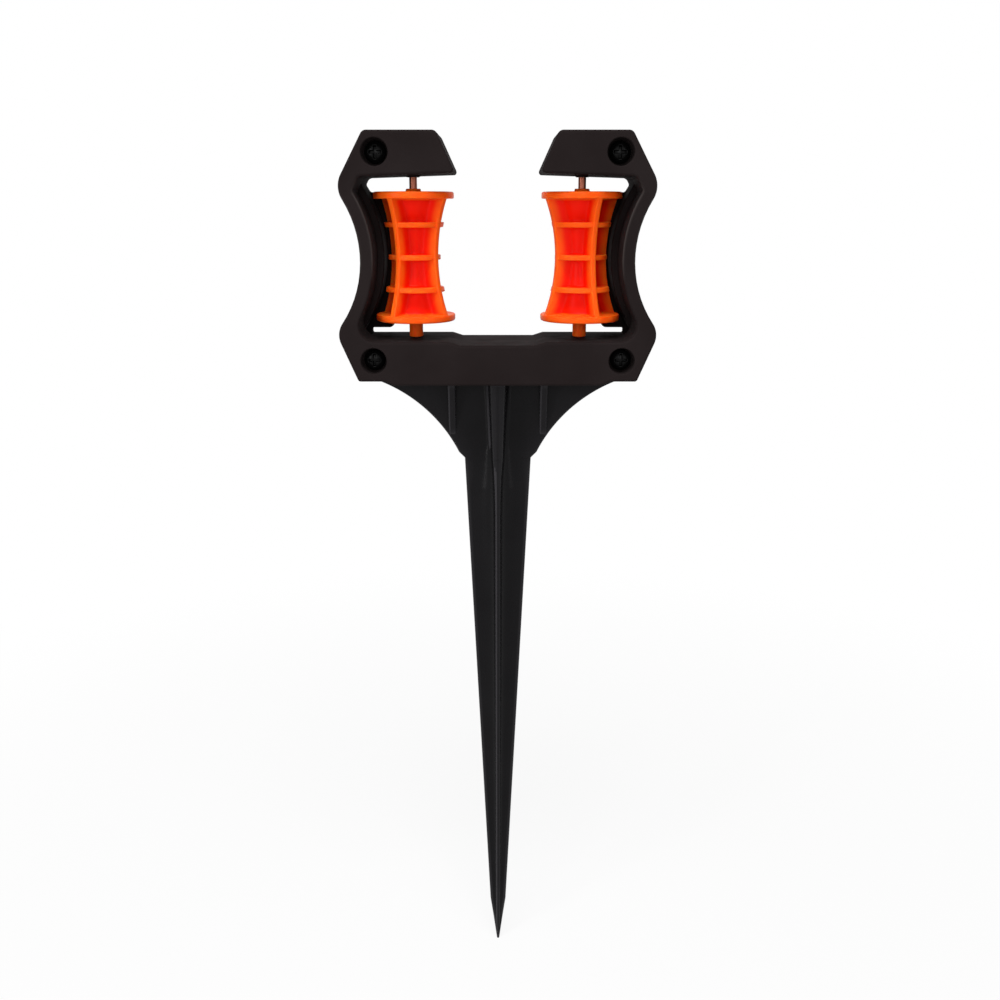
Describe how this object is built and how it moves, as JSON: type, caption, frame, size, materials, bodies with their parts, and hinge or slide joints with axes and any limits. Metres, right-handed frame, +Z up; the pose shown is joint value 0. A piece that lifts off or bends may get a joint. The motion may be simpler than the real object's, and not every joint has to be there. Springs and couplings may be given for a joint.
{
  "type": "hose guide stake",
  "caption": "Ground stake with an open C-shaped head that carries upright hourglass rollers, to guide a garden hose round a bed without kinking.",
  "frame": {"origin": "on the spike's axis at the soil line, where the gussets run into the spike", "axes": "+Z up along the spike, -Y towards the front face with the screw heads, +X to the right seen from the front"},
  "size_m": [0.122, 0.036, 0.3605],
  "materials": {
    "frame": "satin black moulded plastic",
    "stake": "satin black moulded plastic",
    "roller": "semi-gloss orange moulded plastic",
    "axle": "browned steel pin",
    "screw": "black oxide"
  },
  "bodies": {
    "head": {"front_frame": "frame", "rear_frame": "frame", "stake": "stake", "left_axle": "axle", "right_axle": "axle", "screw_upper_left": "screw", "screw_upper_right": "screw", "screw_lower_left": "screw", "screw_lower_right": "screw"},
    "left_roller": {"left_roller": "roller"},
    "right_roller": {"right_roller": "roller"}
  },
  "joints": [
    {"name": "left_roller_spin", "type": "hinge", "parent": "head", "child": "left_roller", "pos_m": [-0.0325, 0, 0.0795], "axis": [0, 0, 1], "continuous": true},
    {"name": "right_roller_spin", "type": "hinge", "parent": "head", "child": "right_roller", "pos_m": [0.0325, 0, 0.0795], "axis": [0, 0, 1], "continuous": true}
  ]
}
